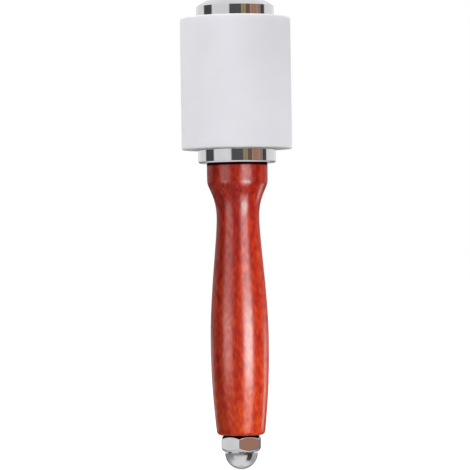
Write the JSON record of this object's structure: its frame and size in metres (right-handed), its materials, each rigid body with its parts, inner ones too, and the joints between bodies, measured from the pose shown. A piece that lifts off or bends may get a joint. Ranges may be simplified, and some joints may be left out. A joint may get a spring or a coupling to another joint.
{
  "type": "leather carving mallet",
  "caption": "Leather carving mallet: a cylindrical nylon head between polished steel discs on a turned wooden handle, clamped by a through rod and an acorn nut.",
  "frame": {"origin": "the middle of the handle's length, on the tool's axis, where the hand holds it", "axes": "+Z along the tool's axis from the acorn nut to the head; -Y faces the picture's camera, with one corner of the nut turned about 5 degrees to the left of it"},
  "size_m": [0.05, 0.05, 0.2121],
  "materials": {
    "polished_steel": "turned stainless steel, polished to a mirror",
    "white_nylon": "white nylon bar, turned, satin",
    "stained_wood": "hardwood stained red under a gloss lacquer",
    "plated_steel": "zinc-plated threaded rod"
  },
  "bodies": {
    "root": {"top_cap": "polished_steel", "nylon_head": "white_nylon", "collar": "polished_steel", "handle": "stained_wood", "tie_rod": "plated_steel", "acorn_nut": "polished_steel"}
  },
  "joints": []
}
